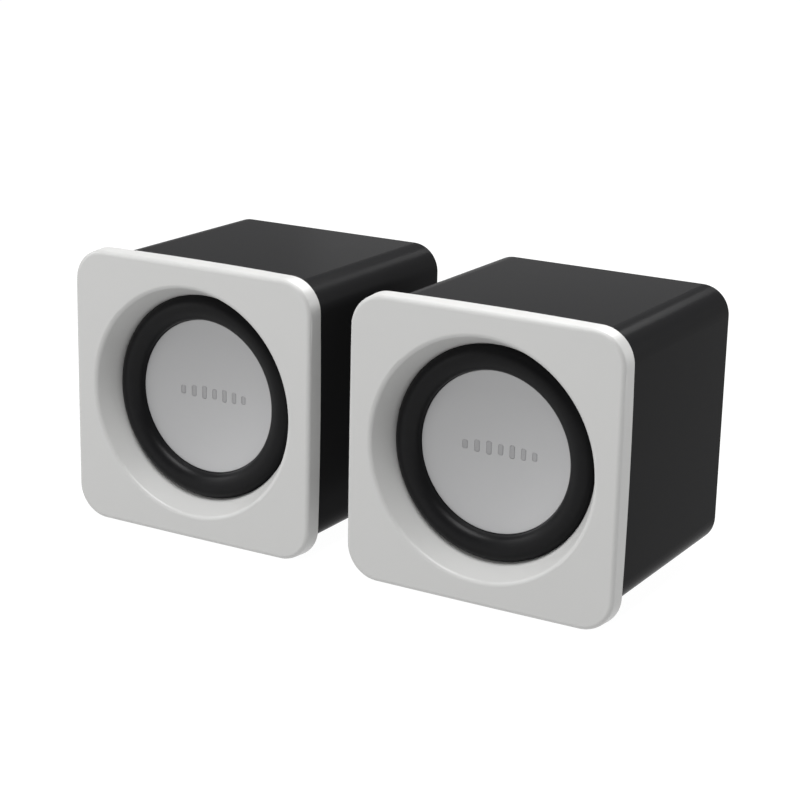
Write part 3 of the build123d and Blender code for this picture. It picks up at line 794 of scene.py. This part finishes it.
def arc_band(centre_mm, radius_mm, first, sweep):
    """Rows of (across, up) points in mm of a 0.4 mm wide arc, with its angles in degrees."""
    half_width = 0.2
    steps = 24
    rows = []
    for step in range(steps + 1):
        turn = radians(first + sweep * step / steps)
        row = []
        for radius in (radius_mm - half_width, radius_mm + half_width):
            row.append((centre_mm[0] + radius * cos(turn), centre_mm[1] + radius * sin(turn)))
        rows.append(row)
    return rows


def box_band(centre_mm, width_mm, height_mm):
    """Rows of (across, up) points in mm of a rectangle."""
    rows = []
    for up in (-height_mm / 2, height_mm / 2):
        ends = (-width_mm / 2, width_mm / 2)
        rows.append([(centre_mm[0] + across, centre_mm[1] + up) for across in ends])
    return rows


def link_sign(across_mm, up_mm):
    """Two boxes joined by a line."""
    boxes = [box_band((across_mm + shift, up_mm), 1.6, 1.6) for shift in (-1.7, 1.7)]
    return boxes + [box_band((across_mm, up_mm), 1.9, 0.35)]


def sound_sign(across_mm, up_mm):
    """A block with two arcs spreading from it."""
    arcs = [arc_band((across_mm - 1.0, up_mm), radius, -42, 84) for radius in (1.5, 2.5)]
    return arcs + [box_band((across_mm - 1.2, up_mm), 0.9, 1.5)]


def power_sign(across_mm, up_mm):
    """An open ring with a stem in its gap."""
    return [arc_band((across_mm, up_mm), 1.15, 125, 290), box_band((across_mm, up_mm + 1.0), 0.4, 1.3)]


def add_signs(side, signs, material):
    """Signs printed on the rear panel beside the sockets."""
    verts, faces = [], []
    for rows in signs:
        start = len(verts)
        for y in (PANEL_BACK - INK, PANEL_BACK + INK):
            for row in rows:
                verts += [(axis_x(side) + across * MM, y, AXIS_Z + up * MM) for across, up in row]
        faces += slab_faces(start, len(rows) - 1, 1)
    piece = mesh_object(f"{side}_rear_signs", verts, faces)
    face_outwards(piece)
    piece.data.materials.append(material)
    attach(piece, f"{side}_unit")


def add_mark(side, material):
    """Seven upright bars that narrow at their ends, printed across the cap like a level display."""
    heights_mm = (2.2, 2.9, 3.3, 2.6, 3.2, 2.8, 2.1)
    pitch = 3.0 * MM
    half_width = 0.7 * MM
    rows = 10
    columns = 4
    cap = NODES[f"{side}_dust_cap"]
    surface = BVHTree.FromObject(cap, bpy.context.evaluated_depsgraph_get())
    verts, faces = [], []
    for bar, height_mm in enumerate(heights_mm):
        middle = axis_x(side) + (bar - (len(heights_mm) - 1) / 2) * pitch
        half_height = height_mm * MM / 2
        start = len(verts)
        for layer in (-INK, INK / 2):
            for row in range(rows + 1):
                up = (2 * row / rows - 1) * half_height
                end_gap = max(abs(up) - (half_height - half_width / 2), 0) / (half_width / 2)
                width = half_width * (1 - 0.5 * end_gap**2)
                for column in range(columns + 1):
                    across = middle + (2 * column / columns - 1) * width
                    before = Vector((across, FRONT_Y - 10 * MM, AXIS_Z + up))
                    hit = surface.ray_cast(before, Vector((0, 1, 0)))[0]
                    verts.append((across, hit.y + layer, AXIS_Z + up))
        faces += slab_faces(start, rows, columns)
    piece = mesh_object(f"{side}_cap_mark", verts, faces)
    face_outwards(piece)
    piece.data.materials.append(material)
    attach(piece, f"{side}_diaphragm")


def slab_faces(start, rows, columns):
    """Faces of a closed slab made of two grids of points, the back one after the front one."""
    line = columns + 1
    back = (rows + 1) * line
    faces = []
    for row in range(rows):
        for column in range(columns):
            a = start + row * line + column
            faces.append((a, a + 1, a + line + 1, a + line))
            faces.append((a + back, a + back + line, a + back + line + 1, a + back + 1))
    for row in range(rows):
        for a in (start + row * line, start + row * line + columns):
            faces.append((a, a + line, a + line + back, a + back))
    for column in range(columns):
        for a in (start + column, start + rows * line + column):
            faces.append((a, a + 1, a + 1 + back, a + back))
    return faces


add_camera()
add_lights()
add_floor()
MATERIALS = {name: make() for name, make in LOOKS.items()}
MARK_INK = cap_ink()
dress_cad_nodes(MATERIALS)
for unit_side in SIDES:
    add_roll(unit_side, MATERIALS["roll_rubber"])
    add_centring_disc(unit_side, MATERIALS["spider_cloth"])
    add_braids(unit_side, MATERIALS["copper"])
    add_mark(unit_side, MARK_INK)
SIGN_INK = sign_ink()
add_signs("left", link_sign(0, -5.8), SIGN_INK)
add_signs("right", link_sign(-13, -5.8) + sound_sign(13, -5.8) + power_sign(0, -7.7), SIGN_INK)
